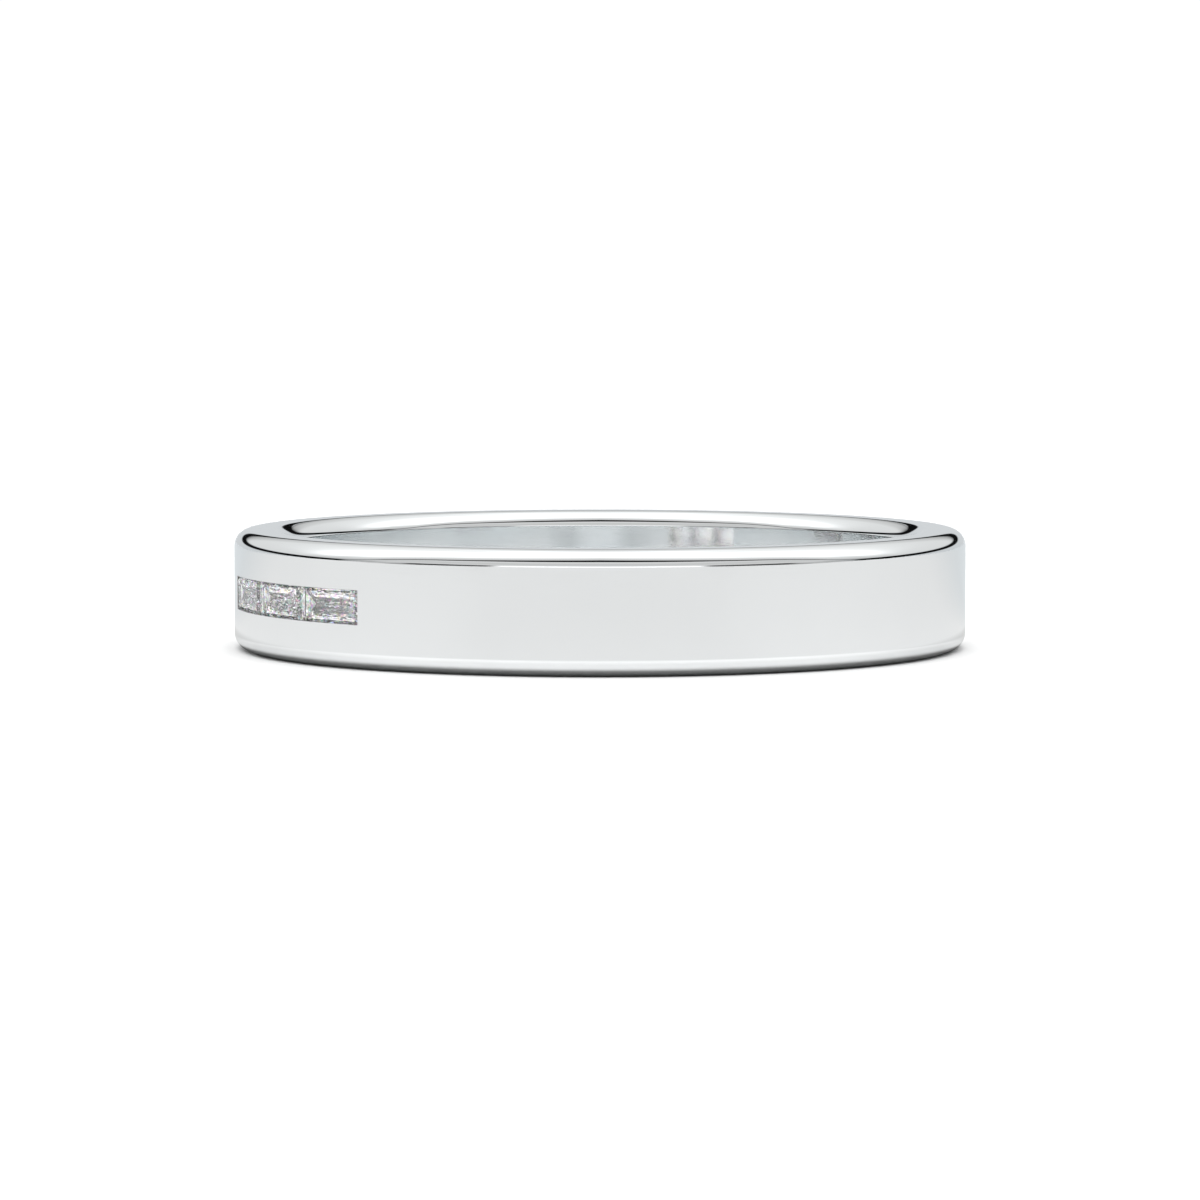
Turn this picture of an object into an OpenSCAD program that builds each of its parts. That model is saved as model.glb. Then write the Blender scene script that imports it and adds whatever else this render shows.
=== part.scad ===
// Plain polished finger ring with three step cut stones set flush, end to end, in its outer wall.
// The finger's axis is +Z, the ring lies on z = 0, and -Y is its front.

/* [Ring] */
// Inside diameter, which is the finger's size
inner_d = 17.3; // [16:0.1:20]
// Thickness of the wall
wall_t = 1.5; // [1.4:0.05:2]
// Width along the finger
ring_w = 3.3; // [2.5:0.1:6]
// Radius of the four rounded edges
edge_r = 0.45; // [0.2:0.05:0.6]

/* [Row of stones] */
// Turn of the row's middle from the front towards the left
row_turn = 58.65; // [0:0.05:90]
// Arc of the ring that one stone takes
stone_arc = 13.35; // [12:0.05:13.6]
// Width of the stones as seen between the lips
row_w = 0.9; // [0.8:0.05:1.2]
// Length by which the lips reach over the stones' edges
lip_over = 0.04; // [0.03:0.01:0.05]
// Thickness of the lips
lip_t = 0.06; // [0.05:0.01:0.06]
// Free space between a stone and what is beside it
gap = 0.01; // [0.005:0.005:0.015]

/* [Stone cut] */
// Depth of the table under the outer wall
table_drop = 0.07; // [0.07:0.005:0.1]
// Height of the crown, from the girdle up to the table
crown_h = 0.1; // [0.09:0.01:0.11]
// Thickness of the girdle, the stone's widest part
girdle_h = 0.04; // [0.02:0.01:0.06]

/* [Open back] */
// Length of the ledge that each window leaves under the ends of its stone
ledge = 0.22; // [0.15:0.01:0.23]
// Radius of the windows' corners
window_r = 0.12; // [0.05:0.01:0.2]

/* [Hidden] */
$fn = 180;

inner_r = inner_d / 2;
outer_r = inner_r + wall_t;
front_angle = 270;      // of the front direction, -Y
past = 0.2;             // by which a cut runs past the face it opens

// Heights along the radius, at the middle of a stone
girdle_r = outer_r - table_drop - crown_h - girdle_h;
seat_r = girdle_r - 0.12;
groove_r = outer_r - lip_t;
bar_r = seat_r - 0.16;

// Half widths along the finger, at the ring's middle
lip_hw = row_w / 2;
girdle_hw = lip_hw + lip_over;
groove_hw = girdle_hw + gap;
slot_hw = girdle_hw - 0.07;

// Half lengths along the ring
girdle_hl = girdle_r * tan(stone_arc / 2) - gap;
window_hl = girdle_hl - ledge;
row_half = 1.5 * stone_arc;

// Levels of the cut, from the table down: [height over the girdle's foot, inset from its outline]
cut = [
    [girdle_h + crown_h, 0.12],
    [girdle_h + 0.45 * crown_h, 0.05],
    [girdle_h, 0],
    [0, 0],
    [-0.145, 0.107],
    [-0.193, 0.153],
    [-0.32, 0.291],
    [-0.425, girdle_hw],
];

// Angle that a length along the ring takes at a radius
function turn(length, r) = length / r * 180 / PI;

// Outline of the cut across a stone that is half as wide as `half` at the girdle
function outline(half) = [
    for (level = cut) [half - level[1], level[0]],
    for (i = [len(cut) - 1 : -1 : 0]) if (half > cut[i][1]) [cut[i][1] - half, cut[i][0]],
];

// Wall of the ring, cut along its axis
module wall_section() {
    translate([inner_r, edge_r]) square([wall_t, ring_w - 2 * edge_r]);
    translate([inner_r + edge_r, 0]) square([wall_t - 2 * edge_r, ring_w]);
    for (r = [inner_r + edge_r, outer_r - edge_r], z = [edge_r, ring_w - edge_r])
        translate([r, z]) circle(edge_r);
}

// Puts its children at an angle along the row, with X outwards and Y along the ring
module at_row(angle) {
    translate([0, 0, ring_w / 2]) rotate([0, 0, front_angle - row_turn + angle]) children();
}

// Cut between two radii that follows the ring over the whole row
module row_cut(from_r, to_r, half_w, half_arc) {
    at_row(-half_arc) rotate_extrude(angle = 2 * half_arc)
        translate([from_r, -half_w]) square([to_r - from_r, 2 * half_w]);
}

// Window behind one stone, from the bore up to the space that the stone's foot fills
module window() {
    straight = [2 * (window_hl - window_r), 2 * (slot_hw - window_r)];
    rotate([90, 0, 90]) translate([0, 0, inner_r - past]) linear_extrude(bar_r + past / 4 - inner_r + past) {
        square([straight[0], 2 * slot_hw], center = true);
        square([2 * window_hl, straight[1]], center = true);
        for (x = [-1, 1], y = [-1, 1])
            translate([x * straight[0], y * straight[1]] / 2) circle(window_r);
    }
}

// One stone of the row: its outline across and its outline along, both run through each other
module stone(place) {
    at_row(place * stone_arc) translate([girdle_r, 0, 0]) rotate([90, 0, 90]) intersection() {
        rotate([90, 0, 90]) linear_extrude(2 * girdle_hl, center = true) polygon(outline(girdle_hw));
        rotate([90, 0, 0]) linear_extrude(2 * girdle_hw, center = true) polygon(outline(girdle_hl));
    }
}

module band() {
    color([0.87, 0.88, 0.89]) difference() {
        rotate_extrude() wall_section();
        row_cut(groove_r - gap, outer_r + past, lip_hw, row_half - turn(0.04, outer_r));
        row_cut(seat_r, groove_r, groove_hw, row_half + turn(gap, girdle_r));
        row_cut(bar_r, seat_r + gap, slot_hw, row_half - turn(0.07, seat_r));
        for (place = [-1, 0, 1]) at_row(place * stone_arc) window();
    }
}

module baguette_right() {
    color([0.8, 0.86, 0.9, 0.6]) stone(1);
}

module baguette_middle() {
    color([0.8, 0.86, 0.9, 0.6]) stone(0);
}

module baguette_left() {
    color([0.8, 0.86, 0.9, 0.6]) stone(-1);
}

band();
baguette_right();
baguette_middle();
baguette_left();
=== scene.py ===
import math

import bmesh
import bpy
import numpy as np
from mathutils import Matrix, Vector


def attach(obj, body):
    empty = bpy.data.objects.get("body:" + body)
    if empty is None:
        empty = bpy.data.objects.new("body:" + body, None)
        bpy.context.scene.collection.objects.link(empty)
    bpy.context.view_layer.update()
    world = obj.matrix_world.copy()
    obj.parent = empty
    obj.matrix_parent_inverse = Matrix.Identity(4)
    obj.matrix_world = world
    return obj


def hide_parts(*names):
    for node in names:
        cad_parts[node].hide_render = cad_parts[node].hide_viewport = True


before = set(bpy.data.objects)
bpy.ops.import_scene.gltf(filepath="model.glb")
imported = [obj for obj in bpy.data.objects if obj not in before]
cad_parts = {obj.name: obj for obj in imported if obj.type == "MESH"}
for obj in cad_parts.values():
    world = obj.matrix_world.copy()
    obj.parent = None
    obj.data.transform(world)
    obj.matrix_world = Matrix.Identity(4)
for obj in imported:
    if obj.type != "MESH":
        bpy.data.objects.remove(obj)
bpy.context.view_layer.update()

mm = 0.001


# Shader node helpers

def newMaterial(name):
    material = bpy.data.materials.new(name)
    material.use_nodes = True
    tree = material.node_tree
    return material, tree, tree.nodes["Principled BSDF"]


def addNode(tree, kind, inputs=None, **settings):
    node = tree.nodes.new(kind)
    for key, value in settings.items():
        setattr(node, key, value)
    for key, value in (inputs or {}).items():
        if isinstance(value, bpy.types.NodeSocket):
            tree.links.new(value, node.inputs[key])
        else:
            node.inputs[key].default_value = value
    return node


def calc(tree, operation, first, second=0.0, third=0.0):
    inputs = {0: first, 1: second, 2: third}
    return addNode(tree, "ShaderNodeMath", inputs, operation=operation).outputs[0]


def inDegrees(tree, angle):
    return calc(tree, "MULTIPLY", angle, 180 / math.pi)


def vectorCalc(tree, operation, first, second):
    inputs = {0: first, 1: second}
    return addNode(tree, "ShaderNodeVectorMath", inputs, operation=operation).outputs[0]


def scaled(tree, vector, factor):
    inputs = {0: vector, "Scale": factor}
    return addNode(tree, "ShaderNodeVectorMath", inputs, operation="SCALE").outputs[0]


def lengthOf(tree, vector):
    return addNode(tree, "ShaderNodeVectorMath", {0: vector}, operation="LENGTH").outputs["Value"]


def split(tree, vector):
    return addNode(tree, "ShaderNodeSeparateXYZ", {0: vector}).outputs


def join(tree, x, y, z=0.0):
    return addNode(tree, "ShaderNodeCombineXYZ", {0: x, 1: y, 2: z}).outputs[0]


def cellColours(tree, vector, scale=1.0):
    inputs = {"Vector": vector, "Scale": scale}
    return addNode(tree, "ShaderNodeTexVoronoi", inputs).outputs["Color"]


def noise(tree, vector, scale, detail):
    inputs = {"Vector": vector, "Scale": scale, "Detail": detail}
    return addNode(tree, "ShaderNodeTexNoise", inputs).outputs[0]


def objectPlace(tree):
    return addNode(tree, "ShaderNodeTexCoord").outputs["Object"]


def remap(tree, value, fromLow, fromHigh, toLow=0.0, toHigh=1.0, smooth=False):
    kind = "SMOOTHSTEP" if smooth else "LINEAR"
    inputs = {"Value": value, "From Min": fromLow, "From Max": fromHigh,
              "To Min": toLow, "To Max": toHigh}
    return addNode(tree, "ShaderNodeMapRange", inputs, interpolation_type=kind).outputs[0]


def blend(tree, factor, first, second):
    return addNode(tree, "ShaderNodeMix", {0: factor, 2: first, 3: second}).outputs[0]


def blendVectors(tree, factor, first, second):
    inputs = {0: factor, 4: first, 5: second}
    return addNode(tree, "ShaderNodeMix", inputs, data_type="VECTOR").outputs[1]


def curveThrough(tree, value, points, top):
    # a smooth curve through given points, flat past its ends; it can reach values up to top
    low, high = points[0][0], points[-1][0]
    node = addNode(tree, "ShaderNodeFloatCurve", {"Value": remap(tree, value, low, high)})
    curve = node.mapping.curves[0]
    places = [((x - low) / (high - low), y / top) for x, y in points]
    curve.points[0].location = places[0]
    curve.points[1].location = places[-1]
    for place in places[1:-1]:
        curve.points.new(*place)
    for point in curve.points:
        point.handle_type = "AUTO_CLAMPED"
    node.mapping.update()
    return calc(tree, "MULTIPLY", node.outputs[0], top)


# Studio: a sheet of light overhead, dark gaps at its edges, and pale cards below

studio = {
    # by azimuth from the front, in degrees: the elevation where the sheet starts, and over how much
    # more of it the sheet brightens
    "sheetStart": [(0, 45), (24, 40.5), (48, 32.5), (60, 28), (72, 18), (84, 8), (96, 7), (108, 9),
                   (120, 10), (132, 10.5), (144, 11), (154, 11.6), (168, 14), (176, 16.5), (180, 16.5)],
    "sheetReach": [(0, 22), (88, 20), (96, 15), (104, 14.5), (112, 20), (121, 32), (132, 41),
                   (141, 47), (150, 51), (160, 46), (167, 45), (180, 50)],
    # brightness of the sheet by the share of that reach
    "sheet": [(0, 0.2), (0.06, 0.48), (0.15, 0.62), (0.3, 0.71), (0.46, 0.77), (0.64, 0.87),
              (0.82, 1.06), (1.0, 1.24), (1.3, 1.6), (1.8, 2.2)],
    # the same for the part where it is more even, and the share of that by azimuth
    "sheetEven": [(0, 0.7), (0.05, 0.81), (0.15, 0.82), (0.34, 0.85), (0.6, 0.94), (0.8, 1.02),
                  (1.0, 1.11), (1.4, 1.3), (1.8, 1.5)],
    "evenShare": [(0, 0), (96, 0), (110, 1), (150, 1), (165, 0), (180, 0)],
    "sheetEdge": 0.3,         # degrees, half of the soft edge of the sheet
    # height in degrees of the dark gap under the sheet's front edge, by azimuth, and half its soft edge
    "gap": [(0, 11.5), (24, 9), (48, 4.5), (60, 3), (72, 2.4), (84, 1.2), (92, 0), (180, 0)],
    "gapEdge": 0.6,
    # a dark rim just over the horizon, by azimuth: its elevation, half its height, its darkness
    "rim": [(0, 2), (60, 2), (70, 3), (80, 3), (92, 3.2), (108, 5), (120, 6.3), (132, 7.6), (144, 8.4),
            (154, 9.1), (165, 10.6), (176, 12), (180, 12)],
    "rimHalf": [(0, 3.2), (60, 3.2), (70, 2.4), (80, 2.4), (92, 4.2), (108, 3.8), (132, 2.7),
                (154, 2.2), (165, 2.6), (176, 3.5), (180, 3.5)],
    "rimDepth": [(0, 0), (27, 0), (36, 0.85), (58, 0.95), (66, 0.4), (82, 0.4), (90, 1), (180, 1)],
    "rimEdge": 0.7,           # degrees, half of its soft edge
    # brightness of the front cards by elevation, that of the cards beside and behind the ring, and
    # between which azimuths the one gives way to the other
    "cards": [(0, 1.6), (1.5, 1.5), (4, 0.93), (7, 0.76), (11, 0.68), (18, 0.66), (24, 0.76),
              (31, 0.78)],
    "sideCards": 0.7,
    "sideAzimuth": (50, 80),
    "dark": 0.005,            # brightness of the gap and the rim
    # tints in front, behind under the sheet, and of the sheet behind, and where they give way
    "frontTint": (1.0, 1.0, 1.0),
    "backTint": (0.95, 0.985, 1.01),
    "sheetTint": (0.99, 1.0, 1.0),
    "backAzimuth": (60, 120),
    "tintEdge": 2,            # degrees, half of the soft edge between the last two
    "behind": (1.05, 1.05, 1.05),        # what the camera sees past the floor
    # light on the floor: the same from all sides, and more of it straight from above
    "floorEven": 0.56,
    "floorTop": 3.9,
    "floorTopPower": 6.0,
}

sparks = {
    # small lights and dark cards that only show through the stones, at the sides and behind: cells to a
    # unit of direction, their shift, the brightness of a cell by its chance, and how coloured it is
    "scale": 8.21,
    "shift": (1.37, 0.89, 15.38),
    "level": 1.03,
    "power": 1.43,
    "tone": [(0, 0.03), (0.25, 0.1), (0.38, 0.32), (0.6, 0.6), (0.8, 0.84), (0.9, 1.1), (1, 1.5)],
    "tint": 0.8,
    "azimuth": (50, 75),
    "front": 1.92,            # brightness of what is in front of them, through the stones
}

floor = {
    "size": 4.0,              # m from the middle to an edge
    "drop": 0.002,            # mm under the ring
    "colour": 0.84,
    "roughness": 0.7,
    # as the metal mirrors it: painted shade by degrees below the horizon, darker towards it, then a
    # painted contact shadow close to the ring by distance in mm, with a little painted light just past
    # it
    "tone": [(0, 0.7), (3.6, 0.7), (4.9, 0.735), (5.6, 0.79), (7.5, 0.9), (10, 1), (90, 1)],
    "paintedContactShadow": [(8.9, 1), (9.3, 0.42), (10.0, 0.42), (10.08, 0.6), (10.15, 0.86), (10.22, 1.02),
                (10.3, 1.08), (10.6, 1)],
    # what its far edge adds to the tone, plus 1, by azimuth: painted light in front and painted shade
    # beside; and the degrees over which it sets in
    "edge": [(0, 1.4), (27, 1.4), (35, 0.35), (58, 0.35), (68, 0.75), (90, 1), (180, 1)],
    "edgeAngle": (3.5, 3.0),
    # painted shade, darker beside the ring: by how much, between which azimuths it sets in, and at
    # which distances
    "side": 0.2,
    "sideAzimuth": (35, 70),
    "sideDistance": [(9.5, 0), (10, 1), (11.5, 1), (14, 0)],
    # painted light, brighter inside it, up to between these distances
    "paintedInsideLight": 1.24,
    "insideDistance": (8.7, 9),
    # painted shade, greyer where it is mirrored steeply, by degrees below the horizon and by distance
    # in mm
    "paintedSteepShade": 0.3,
    "steepAngle": (6.5, 12),
    "steepDistance": [(0, 1), (8.2, 1), (9.2, 0), (11.4, 0), (13.4, 1), (20, 1)],
    # painted light and shade: its tone outside the ring, by azimuth, and the distances between which
    # that sets in
    "around": [(0, 1), (20, 1), (40, 1.04), (56, 1.05), (75, 1.04), (94, 1.02), (110, 1), (122, 0.972),
               (136, 0.96), (143, 0.99), (150, 1), (180, 1)],
    "aroundDistance": (10.3, 11),
    # painted glints: through the stones it is a bright patchwork, brighter than white: the patches to a
    # mm, and their tone by chance
    "patches": 0.45,
    "patchTone": (0.8, 1.85),
    "patchPower": 1.5,
    # a painted bluish reflection: bluer at the back, where it is mirrored at a low angle
    "backTint": (0.84, 0.88, 0.905),
    "backAzimuth": (108, 150),
    "backAngle": (10, 5),
}

view = {
    "lens": 143.47,           # mm
    "sensor": 36,
    "place": (0, -132.888, 10.889),
    "down": 4.1333,           # degrees
    "clip": (0.005, 20),      # m
}


def azimuthOf(tree, x, y):
    # degrees from the front, the same to the left and to the right
    azimuth = calc(tree, "ARCTAN2", calc(tree, "ABSOLUTE", x), calc(tree, "MULTIPLY", y, -1.0))
    return inDegrees(tree, azimuth)


def sheetLight(tree, azimuth, elevation):
    # what the metal mirrors above the horizon
    above = calc(tree, "SUBTRACT", elevation, curveThrough(tree, azimuth, studio["sheetStart"], top=45))
    reach = curveThrough(tree, azimuth, studio["sheetReach"], top=60)
    height = calc(tree, "DIVIDE", above, reach)
    sheet = curveThrough(tree, height, studio["sheet"], top=2.5)
    evenSheet = curveThrough(tree, height, studio["sheetEven"], top=2.5)
    sheet = blend(tree, curveThrough(tree, azimuth, studio["evenShare"], top=1), sheet, evenSheet)

    side = remap(tree, azimuth, *studio["sideAzimuth"], smooth=True)
    cards = curveThrough(tree, elevation, studio["cards"], top=2)
    cards = blend(tree, side, cards, studio["sideCards"])
    underSheet = calc(tree, "ADD", above, curveThrough(tree, azimuth, studio["gap"], top=15))
    underSheet = remap(tree, underSheet, -studio["gapEdge"], studio["gapEdge"], smooth=True)
    cards = blend(tree, underSheet, cards, studio["dark"])
    onSheet = remap(tree, above, -studio["sheetEdge"], studio["sheetEdge"])
    light = blend(tree, onSheet, cards, sheet)

    rim = calc(tree, "SUBTRACT", elevation, curveThrough(tree, azimuth, studio["rim"], top=15))
    rimHalf = curveThrough(tree, azimuth, studio["rimHalf"], top=5)
    rim = calc(tree, "SUBTRACT", calc(tree, "ABSOLUTE", rim), rimHalf)
    rim = remap(tree, rim, studio["rimEdge"], -studio["rimEdge"], smooth=True)
    rim = calc(tree, "MULTIPLY", rim, curveThrough(tree, azimuth, studio["rimDepth"], top=1))
    light = blend(tree, rim, light, studio["dark"])

    onSheet = remap(tree, above, -studio["tintEdge"], studio["tintEdge"], smooth=True)
    backTint = blendVectors(tree, onSheet, studio["backTint"], studio["sheetTint"])
    atBack = remap(tree, azimuth, *studio["backAzimuth"], smooth=True)
    tint = blendVectors(tree, atBack, studio["frontTint"], backTint)
    return scaled(tree, tint, light)


def sparkLight(tree, direction):
    # brightness and colour of the small lights
    scale = [sparks["scale"]] * 3
    cells = addNode(tree, "ShaderNodeVectorMath", {0: direction, 1: scale, 2: sparks["shift"]},
                    operation="MULTIPLY_ADD").outputs[0]
    chance, warm, cool = split(tree, cellColours(tree, cells))
    chance = calc(tree, "POWER", chance, sparks["power"])
    colour = vectorCalc(tree, "ADD", join(tree, warm, 0.5, cool), (0.5, 0.5, 0.5))
    colour = blendVectors(tree, sparks["tint"], (1, 1, 1), colour)
    colour = scaled(tree, colour, curveThrough(tree, chance, sparks["tone"], top=3))
    return scaled(tree, colour, sparks["level"])


def studioWorld():
    world = bpy.data.worlds.new("studio")
    bpy.context.scene.world = world
    world.use_nodes = True
    tree = world.node_tree
    direction = addNode(tree, "ShaderNodeTexCoord").outputs["Generated"]
    x, y, z = split(tree, direction)
    elevation = inDegrees(tree, calc(tree, "ARCSINE", z))
    azimuth = azimuthOf(tree, x, y)
    light = sheetLight(tree, azimuth, elevation)
    ray = addNode(tree, "ShaderNodeLightPath").outputs

    sparkling = vectorCalc(tree, "MULTIPLY", light, sparkLight(tree, direction))
    beside = remap(tree, azimuth, *sparks["azimuth"], smooth=True)
    beside = calc(tree, "MULTIPLY", ray["Is Transmission Ray"], beside)
    front = remap(tree, azimuth, *sparks["azimuth"], sparks["front"] - 1, 0.0, smooth=True)
    front = calc(tree, "MULTIPLY_ADD", ray["Is Transmission Ray"], front, 1.0)
    light = scaled(tree, blendVectors(tree, beside, light, sparkling), front)

    top = calc(tree, "POWER", calc(tree, "MAXIMUM", z, 0.0), studio["floorTopPower"])
    onFloor = calc(tree, "MULTIPLY_ADD", top, studio["floorTop"], studio["floorEven"])
    onFloor = join(tree, onFloor, onFloor, onFloor)
    light = blendVectors(tree, ray["Is Diffuse Ray"], light, onFloor)
    light = blendVectors(tree, ray["Is Camera Ray"], light, studio["behind"])
    tree.links.new(light, tree.nodes["Background"].inputs["Color"])


def floorPaintedShading(tree, flat, azimuth):
    # painted shadow, shade and light of the floor in the metal, and the degrees below the horizon at
    # which it is mirrored
    distance = lengthOf(tree, flat)
    facing = addNode(tree, "ShaderNodeLayerWeight", {"Blend": 0.5}).outputs["Facing"]
    below = inDegrees(tree, calc(tree, "ARCSINE", calc(tree, "SUBTRACT", 1.0, facing)))

    # painted shade towards the horizon, and painted light and shade at the far edge
    edge = calc(tree, "SUBTRACT", curveThrough(tree, azimuth, floor["edge"], top=1.5), 1.0)
    tone = curveThrough(tree, below, floor["tone"], top=1)
    atEdge = remap(tree, below, *floor["edgeAngle"], smooth=True)
    tone = calc(tree, "MULTIPLY_ADD", atEdge, edge, tone)
    # painted contact shadow under the ring, with a little painted light just past it
    paintedContactShadow = curveThrough(tree, distance, floor["paintedContactShadow"], top=1.2)
    # painted shade beside the ring
    paintedSideShade = remap(tree, azimuth, *floor["sideAzimuth"], 0.0, floor["side"])
    paintedSideShade = calc(tree, "MULTIPLY", paintedSideShade, curveThrough(tree, distance, floor["sideDistance"], top=1))
    # painted light inside the ring
    paintedInsideLight = remap(tree, distance, *floor["insideDistance"], floor["paintedInsideLight"], 1.0, smooth=True)
    # painted shade where it is mirrored steeply
    paintedSteepShade = remap(tree, below, *floor["steepAngle"], 0.0, floor["paintedSteepShade"], smooth=True)
    paintedSteepShade = calc(tree, "MULTIPLY", paintedSteepShade, curveThrough(tree, distance, floor["steepDistance"], top=1))
    for factor in (paintedContactShadow, calc(tree, "SUBTRACT", 1.0, paintedSideShade), paintedInsideLight,
                   calc(tree, "SUBTRACT", 1.0, paintedSteepShade)):
        tone = calc(tree, "MULTIPLY", tone, factor)
    # painted light and shade outside the ring, by azimuth
    around = calc(tree, "MULTIPLY", tone, curveThrough(tree, azimuth, floor["around"], top=1.2))
    outside = remap(tree, distance, *floor["aroundDistance"], smooth=True)
    return blend(tree, outside, tone, around), below


def floorMaterial():
    # white to the camera; in the metal it carries painted shadow, shade and light by place and angle,
    # painted glints through the stones, and a painted bluish reflection at the back
    material, tree, shader = newMaterial("white sheet")
    flat = vectorCalc(tree, "MULTIPLY", objectPlace(tree), (1 / mm, 1 / mm, 0))
    x, y, z = split(tree, flat)
    azimuth = azimuthOf(tree, x, y)
    tone, below = floorPaintedShading(tree, flat, azimuth)
    ray = addNode(tree, "ShaderNodeLightPath").outputs
    # painted glints, a bright patchwork seen through the stones
    paintedGlint = split(tree, cellColours(tree, flat, floor["patches"]))[0]
    paintedGlint = calc(tree, "POWER", paintedGlint, floor["patchPower"])
    paintedGlint = remap(tree, paintedGlint, 0.0, 1.0, *floor["patchTone"])
    tone = calc(tree, "MULTIPLY", tone, blend(tree, ray["Is Transmission Ray"], 1.0, paintedGlint))
    # painted bluish reflection at the back
    atBack = remap(tree, azimuth, *floor["backAzimuth"], smooth=True)
    atBack = calc(tree, "MULTIPLY", atBack, remap(tree, below, *floor["backAngle"]))
    mirrored = scaled(tree, blendVectors(tree, atBack, (1, 1, 1), floor["backTint"]), tone)
    seen = blendVectors(tree, ray["Is Camera Ray"], mirrored, (1, 1, 1))
    tree.links.new(scaled(tree, seen, floor["colour"]), shader.inputs["Base Color"])
    shader.inputs["Roughness"].default_value = floor["roughness"]
    shader.inputs["Specular IOR Level"].default_value = 0.0
    return material


def floorSheet():
    mesh = bpy.data.meshes.new("floor")
    bm = bmesh.new()
    bmesh.ops.create_grid(bm, x_segments=1, y_segments=1, size=floor["size"])
    bmesh.ops.translate(bm, vec=(0, 0, -floor["drop"] * mm), verts=bm.verts)
    bm.to_mesh(mesh)
    bm.free()
    mesh.materials.append(floorMaterial())
    sheet = bpy.data.objects.new("floor", mesh)
    bpy.context.collection.objects.link(sheet)


def studioCamera():
    data = bpy.data.cameras.new("camera")
    data.sensor_width = view["sensor"]
    data.lens = view["lens"]
    data.clip_start, data.clip_end = view["clip"]
    camera = bpy.data.objects.new("camera", data)
    camera.location = Vector(view["place"]) * mm
    camera.rotation_euler = (math.radians(90 - view["down"]), 0, 0)
    bpy.context.collection.objects.link(camera)
    bpy.context.scene.camera = camera


def renderSettings():
    scene = bpy.context.scene
    scene.view_settings.view_transform = "Standard"
    scene.cycles.use_denoising = True
    scene.cycles.max_bounces = 24
    scene.cycles.glossy_bounces = 16
    scene.cycles.transmission_bounces = 16


studioWorld()
floorSheet()
studioCamera()
renderSettings()
print("studio: light, floor and camera")


# Band: one closed mesh, spun round the finger's axis and opened along the row of stones

ring = {
    "innerDiameter": 17.3,   # mm, as all sizes in these dictionaries
    "wall": 1.5,
    "width": 3.3,
    "edgeRadius": 0.45,
    "edgeSegments": 20,
    "columns": 720,          # faces around the ring
}
innerRadius = ring["innerDiameter"] / 2
outerRadius = innerRadius + ring["wall"]
middle = ring["width"] / 2
touch = 0.001                # mm by which a point may be off the surface that it lies on
apart = 0.01                 # mm by which what lies off a surface is at least off it

row = {
    "turn": 58.65,           # degrees from the front towards the left
    "stoneArc": 13.35,       # degrees of the ring that one stone takes
    # half width in mm and half arc in degrees of each opening, from the outside in
    "lip": (0.45, 19.80),
    "groove": (0.50, 20.08),
    "slot": (0.42, 19.62),
    "grooveRadius": 10.09,
    "seatRadius": 9.82,
    "barRadius": 9.66,
    "windowHalfLength": 0.933,
    "windowCorner": 0.12,
    "cornerSegments": 6,
    "lipBevel": 0.014,
    # columns of the mesh that meet the windows' straight ends, the row's end, and the plain ring
    "stations": (0, 10, 16, 36, 40, 44),
}
windowStraight = row["windowHalfLength"] - row["windowCorner"]
middleEnd, nearEnd, farEnd, rowEnd = row["stations"][1:5]
windows = {-1: (-farEnd, -nearEnd), 0: (-middleEnd, middleEnd), 1: (nearEnd, farEnd)}


def onRing(radius, angle, z):
    return Vector((radius * math.cos(angle), radius * math.sin(angle), z))


def degreesRound(point):
    # angle of a point from the row's middle
    return math.degrees(math.atan2(point.y, point.x))


def columnAngle(column, radius, halfArc):
    # angle of a column, slid along the row so that it meets the windows and the row's end
    stations = row["stations"]
    step = 360 / ring["columns"]
    if abs(column) >= stations[-1]:
        return math.radians(column * step)
    straight = math.degrees(math.asin(windowStraight / radius))
    arc = row["stoneArc"]
    angles = (0, straight, arc - straight, arc + straight, halfArc, stations[-1] * step)
    return math.copysign(math.radians(np.interp(abs(column), stations, angles)), column)


def bandProfile(bm):
    bmesh.ops.create_grid(bm, x_segments=1, y_segments=1, size=0.5)
    place = Matrix.Translation((innerRadius + ring["wall"] / 2, 0, middle))
    size = Matrix.Diagonal((ring["wall"], 1, ring["width"], 1))
    upright = Matrix.Rotation(math.pi / 2, 4, "X")
    bmesh.ops.transform(bm, matrix=place @ size @ upright, verts=bm.verts)
    bmesh.ops.bevel(bm, geom=bm.verts[:], offset=ring["edgeRadius"], offset_type="OFFSET",
                    segments=ring["edgeSegments"], profile=0.5, affect="VERTICES", material=-1)
    bmesh.ops.delete(bm, geom=bm.faces[:], context="FACES_ONLY")
    walls = [edge for edge in bm.edges
             if abs(edge.verts[0].co.z - edge.verts[1].co.z) > ring["edgeRadius"]]
    for wall in walls:
        outer = wall.verts[0].co.x > innerRadius + ring["wall"] / 2
        half = row["lip"][0] if outer else row["slot"][0]
        parts = bmesh.ops.bisect_edges(bm, edges=[wall], cuts=2)["geom_split"]
        for part in parts:
            if isinstance(part, bmesh.types.BMVert) and abs(part.co.z - middle) < ring["width"] / 4:
                part.co.z = middle + math.copysign(half, part.co.z - middle)


def onCylinder(edge, radius):
    # whether an edge lies on a cylinder about the ring's axis
    return all(abs(vert.co.xy.length - radius) < touch for vert in edge.verts)


def openStrip(bm, radius, halfWidth, halfArc):
    # takes away the strip of wall over the row, and returns the edges round the opening
    strip = []
    for face in bm.faces:
        centre = face.calc_center_median()
        onWall = abs(centre.xy.length - radius) < apart
        if onWall and abs(centre.z - middle) < halfWidth and abs(degreesRound(centre)) < halfArc:
            strip.append(face)
    bmesh.ops.delete(bm, geom=strip, context="FACES")
    return [edge for edge in bm.edges if edge.is_boundary and onCylinder(edge, radius)]


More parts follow.
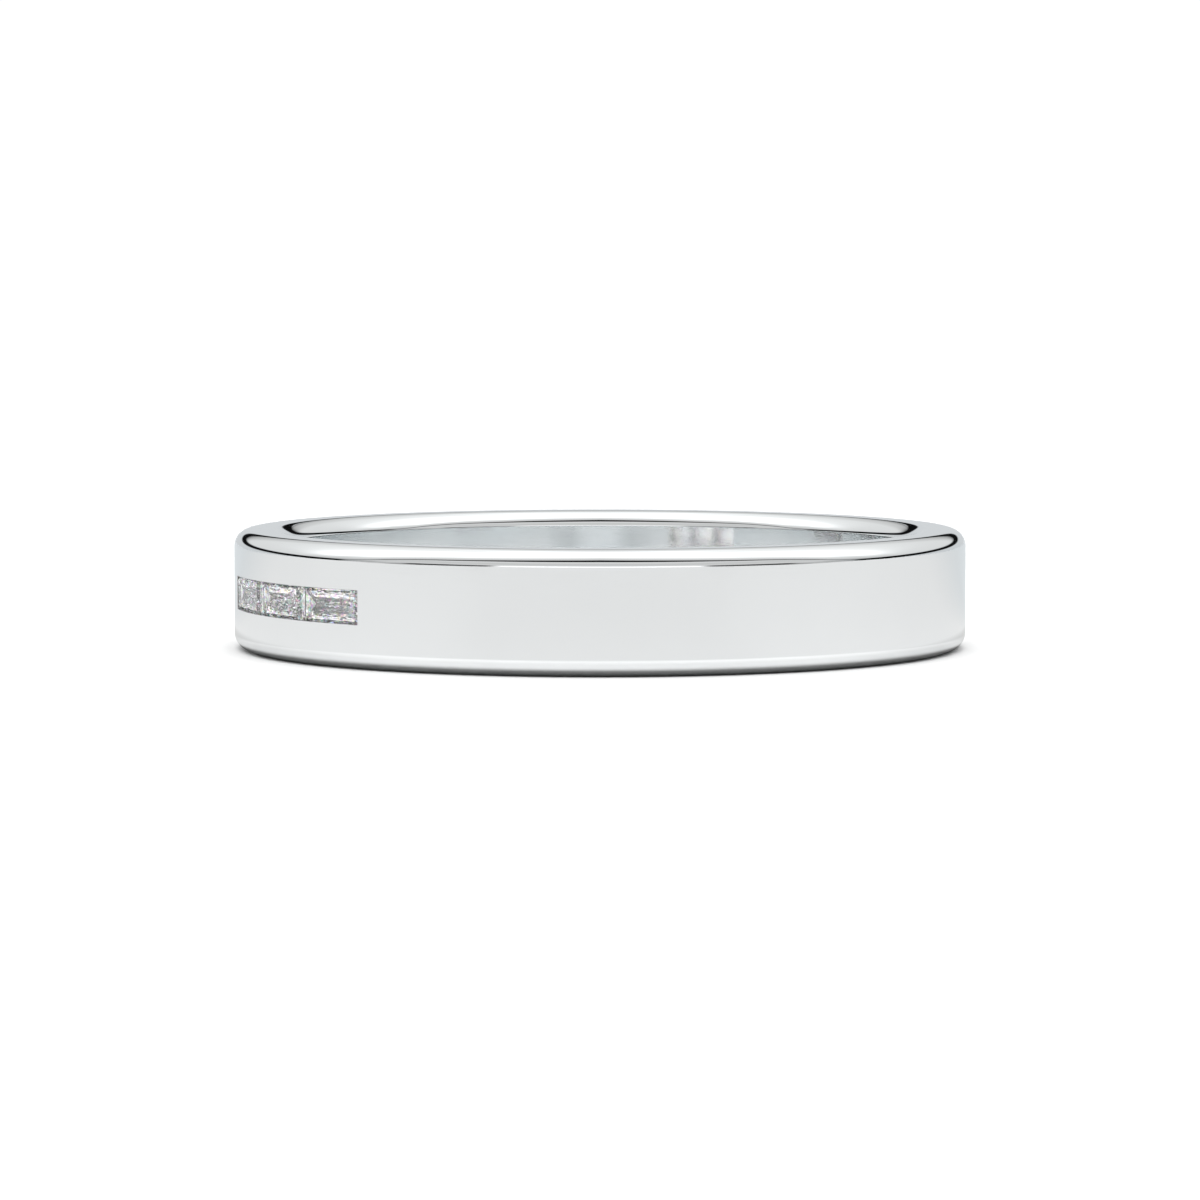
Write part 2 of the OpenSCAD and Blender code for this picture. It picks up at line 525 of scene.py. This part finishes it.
def sink(bm, columns, edges, radius, opening):
    # extrudes a loop of edges and puts it at a radius, with an opening's half width and half arc
    grown = bmesh.ops.extrude_edge_only(bm, edges=edges)["geom"]
    halfWidth, halfArc = opening
    for vert in [item for item in grown if isinstance(item, bmesh.types.BMVert)]:
        side = math.copysign(halfWidth, vert.co.z - middle)
        vert.co = onRing(radius, columnAngle(vert[columns], radius, halfArc), middle + side)
    return [item for item in grown if isinstance(item, bmesh.types.BMEdge) and item.is_boundary]


def windowEnd(bm, place, end, radius):
    # new vertices round one end of a window, from its top corner down to its bottom one
    corner, count = row["windowCorner"], row["cornerSegments"]
    arc = [math.pi / 2 * step / count for step in range(1, count + 1)]
    outline = [(windowStraight + corner * math.sin(turn),
                row["slot"][0] - corner * (1 - math.cos(turn))) for turn in arc]
    outline += [(along, -up) for along, up in reversed(outline)]
    angle = math.radians(place * row["stoneArc"])
    return [bm.verts.new(onRing(radius, angle + math.asin(end * along / radius), middle + up))
            for along, up in outline]


def webs(bm, columns, edges, radius):
    # the ledges and bars left between the windows, on the cylinder that the edges lie on
    line = {}
    for vert in {vert for edge in edges for vert in edge.verts}:
        line[vert[columns], vert.co.z > middle] = vert
    stops = [-rowEnd] + [column for pair in windows.values() for column in pair] + [rowEnd]
    for number, (first, last) in enumerate(zip(stops[::2], stops[1::2])):
        outline = [line[column, True] for column in range(first, last + 1)]
        if number < len(windows):
            outline += windowEnd(bm, number - 1, -1, radius)
        outline += [line[column, False] for column in range(last, first - 1, -1)]
        if number > 0:
            outline += reversed(windowEnd(bm, number - 2, 1, radius))
        bm.faces.new(outline)


def lipEdges(bm):
    # edges where the outer wall meets the sides of the long opening
    reach = row["lip"][0] + apart
    edges = []
    for edge in bm.edges:
        radii = [face.calc_center_median().xy.length for face in edge.link_faces]
        if (len(radii) == 2 and onCylinder(edge, outerRadius)
                and any(abs(radius - outerRadius) > apart for radius in radii)
                and all(abs(vert.co.z - middle) < reach for vert in edge.verts)):
            edges.append(edge)
    return edges


def bandMesh():
    bm = bmesh.new()
    bandProfile(bm)
    bmesh.ops.spin(bm, geom=bm.verts[:] + bm.edges[:], cent=(0, 0, 0), axis=(0, 0, 1),
                   angle=2 * math.pi, steps=ring["columns"], use_merge=True)
    columns = bm.verts.layers.int.new("column")
    for vert in bm.verts:
        vert[columns] = round(degreesRound(vert.co) * ring["columns"] / 360)
        radius = vert.co.xy.length
        vert.co = onRing(radius, columnAngle(vert[columns], radius, row["lip"][1]), vert.co.z)

    loop = openStrip(bm, outerRadius, *row["lip"])
    steps = (("grooveRadius", "lip"), ("grooveRadius", "groove"), ("seatRadius", "groove"),
             ("seatRadius", "slot"), ("barRadius", "slot"))
    for radius, opening in steps:
        loop = sink(bm, columns, loop, row[radius], row[opening])
    webs(bm, columns, loop, row["barRadius"])
    bore = openStrip(bm, innerRadius, row["slot"][0], row["lip"][1])
    webs(bm, columns, bore, innerRadius)
    for place in windows:
        centre = place * row["stoneArc"]
        ends = [edge for edge in bm.edges if edge.is_boundary
                and abs(degreesRound(edge.verts[0].co) - centre) < row["stoneArc"] / 2]
        bmesh.ops.bridge_loops(bm, edges=ends)
    bmesh.ops.bevel(bm, geom=lipEdges(bm), offset=row["lipBevel"], offset_type="OFFSET", segments=2,
                    profile=0.5, affect="EDGES", material=-1)
    bmesh.ops.remove_doubles(bm, verts=bm.verts, dist=touch / 10)
    bmesh.ops.recalc_face_normals(bm, faces=bm.faces)
    return bm


def finishFaces(bm):
    # 0 polished outside, 1 bore, 2 channel under the stones and bars between the windows, with painted
    # shade, 3 windows, with painted light
    wall = middle - ring["edgeRadius"]
    for face in bm.faces:
        centre = face.calc_center_median()
        radius = centre.xy.length
        onWall = abs(centre.z - middle) < wall
        inChannel = onWall and innerRadius + apart < radius < outerRadius - touch
        face.smooth = not inChannel
        # a web has the corners of its windows, and the ones at the row's ends are no bars
        onBar = len(face.verts) > row["cornerSegments"] and abs(degreesRound(centre)) < row["stoneArc"]
        if inChannel:
            face.material_index = 3 if radius < row["barRadius"] - apart else 2
        # the bars' faces on the bore get the channel's painted shade
        elif onBar and radius < innerRadius + apart:
            face.material_index = 2
        elif onWall and radius < innerRadius + ring["wall"] / 2:
            face.material_index = 1


def readAll(items, name, width=1, kind=float):
    values = np.empty(len(items) * width, dtype=kind)
    items.foreach_get(name, values)
    return values.reshape(-1, width) if width > 1 else values


def exactNormals(mesh):
    # normals of the section that was spun, so that its long faces mirror as true cylinders and planes
    corners = readAll(mesh.loops, "vertex_index", kind=np.int32)
    points = readAll(mesh.vertices, "co", width=3)[corners]
    edge = ring["edgeRadius"]
    radius = np.hypot(points[:, 0], points[:, 1])
    out = radius - np.clip(radius, innerRadius + edge, outerRadius - edge)
    up = points[:, 2] - np.clip(points[:, 2], edge, ring["width"] - edge)
    length = np.maximum(np.hypot(out, up), 1e-9)   # never 0
    body = np.stack([points[:, 0] / radius * out, points[:, 1] / radius * out, up], axis=1)
    body /= length[:, None]
    sizes = readAll(mesh.polygons, "loop_total", kind=np.int32)
    flat = np.repeat(readAll(mesh.polygons, "normal", width=3), sizes, axis=0)
    smooth = np.repeat(readAll(mesh.polygons, "use_smooth", kind=bool), sizes)[:, None]
    mesh.normals_split_custom_set(np.where(smooth, body, flat))


def bandPiece(materials):
    bm = bandMesh()
    finishFaces(bm)
    loose = [edge for edge in bm.edges if not edge.is_manifold]
    volume = round(bm.calc_volume(), 2)
    print("band:", len(bm.faces), "faces,", len(loose), "open edges, volume", volume, "mm3")
    mesh = bpy.data.meshes.new("band")
    bm.to_mesh(mesh)
    bm.free()
    for material in materials:
        mesh.materials.append(material)
    exactNormals(mesh)
    rowAngle = math.radians(-90 - row["turn"])
    mesh.transform(Matrix.Scale(mm, 4) @ Matrix.Rotation(rowAngle, 4, "Z"))
    piece = bpy.data.objects.new("ring_band", mesh)
    bpy.context.collection.objects.link(piece)
    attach(piece, "root")
    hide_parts("band")
    return piece


# Metal finishes, with painted shade in the channel and painted light in the windows

metal = {
    "polishedColour": (0.83, 0.845, 0.849),
    "boreColour": (0.895, 0.91, 0.915),
    # painted shade: the channel under the stones and the bars between the windows are a dark grey
    "channelColour": (0.453, 0.453, 0.453),
    # painted light: the windows' walls are lighter than the rest of the metal
    "windowColour": (0.93, 0.93, 0.93),
    # roughness, its change by fine lines round the ring and by grain, depth of the grain in mm,
    # and its tone
    "polished": (0.035, 0.012, 0.006, 0.0, 0.0),
    "bore": (0.03, 0.01, 0.02, 0.0001, 0.02),
    "channel": (0.16, 0.05, 0.08, 0.0006, 0.02),
    "window": (0.05, 0.01, 0.02, 0.0001, 0.01),
    "least": 0.015,          # roughness
    "cloudTone": 0.004,
    # lines, grain and clouds to a mm, and how fast the lines change along themselves
    "lines": 40.0,
    "grain": 34.0,
    "clouds": 0.8,
    "drift": 0.6,
    "noise": (0.3, 0.7),     # what counts as the least and the most of each
}


def finishGroup():
    # fine polishing lines round the finger's axis and a grain, from the place on the ring in mm
    tree = bpy.data.node_groups.new("turned finish", "ShaderNodeTree")
    for name in ("Place", "Radius Scale", "Grain Scale"):
        kind = "NodeSocketVector" if name == "Place" else "NodeSocketFloat"
        tree.interface.new_socket(name, in_out="INPUT", socket_type=kind)
    for name in ("Lines", "Grain", "Cloud"):
        tree.interface.new_socket(name, in_out="OUTPUT", socket_type="NodeSocketFloat")
    inputs = addNode(tree, "NodeGroupInput").outputs
    x, y, z = split(tree, inputs["Place"])
    flat = join(tree, x, y)
    radius = lengthOf(tree, flat)
    across = calc(tree, "MULTIPLY", radius, inputs["Radius Scale"])
    along = calc(tree, "MULTIPLY", z, inputs["Radius Scale"])
    drift = [calc(tree, "MULTIPLY", value, metal["drift"]) for value in (x, y)]
    stretched = {"Vector": join(tree, across, along, drift[0]), "W": drift[1],
                 "Scale": 1.0, "Detail": 3.0}
    lines = addNode(tree, "ShaderNodeTexNoise", stretched, noise_dimensions="4D").outputs[0]
    grain = noise(tree, inputs["Place"], inputs["Grain Scale"], detail=2.0)
    cloud = noise(tree, inputs["Place"], metal["clouds"], detail=1.0)
    outputs = addNode(tree, "NodeGroupOutput").inputs
    for name, value in (("Lines", lines), ("Grain", grain), ("Cloud", cloud)):
        tree.links.new(remap(tree, value, *metal["noise"], -1.0, 1.0), outputs[name])
    return tree


finish = finishGroup()


def metalMaterial(name):
    material, tree, shader = newMaterial(name)
    roughness, byLines, byGrain, depth, grainTone = metal[name]
    place = vectorCalc(tree, "MULTIPLY", objectPlace(tree), [1 / mm] * 3)
    group = addNode(tree, "ShaderNodeGroup", node_tree=finish)
    tree.links.new(place, group.inputs["Place"])
    group.inputs["Radius Scale"].default_value = metal["lines"]
    group.inputs["Grain Scale"].default_value = metal["grain"]
    lines, grain, cloud = group.outputs
    worn = calc(tree, "MULTIPLY_ADD", lines, byLines, roughness)
    worn = calc(tree, "MULTIPLY_ADD", grain, byGrain, worn)
    tree.links.new(calc(tree, "MAXIMUM", worn, metal["least"]), shader.inputs["Roughness"])
    tone = calc(tree, "MULTIPLY_ADD", cloud, metal["cloudTone"], 1.0)
    tone = calc(tree, "MULTIPLY_ADD", grain, grainTone, tone)
    tree.links.new(scaled(tree, metal[name + "Colour"], tone), shader.inputs["Base Color"])
    if depth:
        inputs = {"Height": grain, "Strength": 1.0, "Distance": depth * mm}
        bump = addNode(tree, "ShaderNodeBump", inputs)
        tree.links.new(bump.outputs[0], shader.inputs["Normal"])
    shader.inputs["Metallic"].default_value = 1
    return material


bandPiece([metalMaterial(name) for name in ("polished", "bore", "channel", "window")])


# Stones

stone = {
    "refraction": 2.417,
    # their side facets are broken into small ones: how many to a mm, how much longer along the row,
    # the share of them that is tilted, and by how much
    "facets": 12.0,
    "stretch": 2.5,
    "share": 0.4,
    "tilt": 0.1,
    # the facets of the long sides lean at least this much up or down, which the ones at the ends don't
    "side": (0.3, 0.4),
    # painted fire: spots of colour painted into the stones' colour in place of light split into
    # colours, their number to a mm, the share of them that is coloured, how strongly, and how their
    # colours decide which ones are
    "fireSpots": 18.0,
    "fireShare": 0.45,
    "paintedFire": 0.8,
    "fireDraw": (17.0, 11.0),
}


def facetTilt(tree):
    # normals of the small facets, from the place along the row, out from the axis and up, in mm
    x, y, z = split(tree, objectPlace(tree))
    radius = lengthOf(tree, join(tree, x, y))
    turn = calc(tree, "ARCTAN2", x, calc(tree, "MULTIPLY", y, -1.0))
    along = calc(tree, "MULTIPLY", turn, row["grooveRadius"] * stone["facets"] / stone["stretch"])
    out = calc(tree, "MULTIPLY", radius, stone["facets"] / mm)
    up = calc(tree, "MULTIPLY", z, stone["facets"] / mm)
    cell = cellColours(tree, join(tree, along, out, up))
    chance = split(tree, cell)[2]

    geometry = addNode(tree, "ShaderNodeNewGeometry").outputs
    lean = calc(tree, "ABSOLUTE", split(tree, geometry["True Normal"])[2])
    tilt = calc(tree, "MULTIPLY", remap(tree, lean, *stone["side"]), stone["tilt"])
    tilt = calc(tree, "MULTIPLY", tilt, calc(tree, "LESS_THAN", chance, stone["share"]))
    centred = vectorCalc(tree, "SUBTRACT", cell, (0.5, 0.5, 0.5))
    normal = vectorCalc(tree, "ADD", geometry["Normal"], scaled(tree, centred, tilt))
    return addNode(tree, "ShaderNodeVectorMath", {0: normal}, operation="NORMALIZE").outputs[0]


# painted fire: coloured spots in the stones' colour stand in for light split into colours
def paintedFireColour(tree):
    place = vectorCalc(tree, "MULTIPLY", objectPlace(tree), [stone["fireSpots"] / mm] * 3)
    spot = cellColours(tree, place)
    red, green = split(tree, spot)[:2]
    byRed, byGreen = stone["fireDraw"]
    chance = calc(tree, "MULTIPLY_ADD", red, byRed, calc(tree, "MULTIPLY", green, byGreen))
    coloured = calc(tree, "LESS_THAN", calc(tree, "FRACT", chance), stone["fireShare"])
    strength = calc(tree, "MULTIPLY", coloured, stone["paintedFire"])
    return vectorCalc(tree, "SUBTRACT", (1, 1, 1), scaled(tree, spot, strength))


def stoneMaterial():
    material, tree, shader = newMaterial("clear stone")
    tree.links.new(paintedFireColour(tree), shader.inputs["Base Color"])
    shader.inputs["Roughness"].default_value = 0
    shader.inputs["IOR"].default_value = stone["refraction"]
    shader.inputs["Transmission Weight"].default_value = 1
    tree.links.new(facetTilt(tree), shader.inputs["Normal"])
    return material


clearStone = stoneMaterial()
for name in ("baguette_right", "baguette_middle", "baguette_left"):
    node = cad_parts[name]
    for slot in node.material_slots:
        slot.material = clearStone
print("stones: three step cut baguettes")
